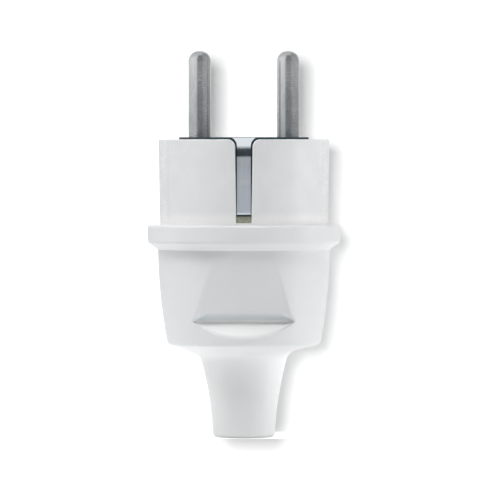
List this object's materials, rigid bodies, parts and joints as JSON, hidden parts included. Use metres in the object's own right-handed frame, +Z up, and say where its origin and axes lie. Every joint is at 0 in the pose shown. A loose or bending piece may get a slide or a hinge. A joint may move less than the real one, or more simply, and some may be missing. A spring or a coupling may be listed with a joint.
{
  "type": "type f plug",
  "caption": "Rewireable type F mains plug with round pins, side earth strips, a flanged grip with thumb recesses and a tapered cable nozzle.",
  "frame": {"origin": "centre of the nozzle's end face, on the surface that the plug stands on", "axes": "+Z up along the plug's axis towards the pins, X along the row of the pins, -Y the front that the picture shows"},
  "size_m": [0.0414, 0.0414, 0.083],
  "materials": {
    "front_shell": "smooth white moulding",
    "rear_hood": "soft satin white moulding",
    "contact_carrier": "dark satin moulding",
    "pin_retainer": "dark satin moulding",
    "cord_clamp_bar": "dark satin moulding",
    "pin_left": "satin nickel plating",
    "pin_right": "satin nickel plating",
    "earth_bracket": "satin nickel plating",
    "earth_terminal": "plain turned brass",
    "earth_rivet": "plain turned brass",
    "terminal_screw_left": "bright zinc plating",
    "terminal_screw_right": "bright zinc plating",
    "retainer_screw_left": "bright zinc plating",
    "retainer_screw_right": "bright zinc plating",
    "cord_clamp_screw_left": "bright zinc plating",
    "cord_clamp_screw_right": "bright zinc plating",
    "cord_clamp_nut_left": "bright zinc plating",
    "cord_clamp_nut_right": "bright zinc plating",
    "housing_screw": "bright zinc plating",
    "housing_nut": "bright zinc plating",
    "earth_terminal_screw": "bright zinc plating"
  },
  "bodies": {
    "root": {"front_shell": "front_shell", "rear_hood": "rear_hood", "contact_carrier": "contact_carrier", "pin_retainer": "pin_retainer", "cord_clamp_bar": "cord_clamp_bar", "pin_left": "pin_left", "pin_right": "pin_right", "earth_bracket": "earth_bracket", "earth_terminal": "earth_terminal", "earth_rivet": "earth_rivet", "terminal_screw_left": "terminal_screw_left", "terminal_screw_right": "terminal_screw_right", "retainer_screw_left": "retainer_screw_left", "retainer_screw_right": "retainer_screw_right", "cord_clamp_screw_left": "cord_clamp_screw_left", "cord_clamp_screw_right": "cord_clamp_screw_right", "cord_clamp_nut_left": "cord_clamp_nut_left", "cord_clamp_nut_right": "cord_clamp_nut_right", "housing_screw": "housing_screw", "housing_nut": "housing_nut", "earth_terminal_screw": "earth_terminal_screw"}
  },
  "joints": []
}
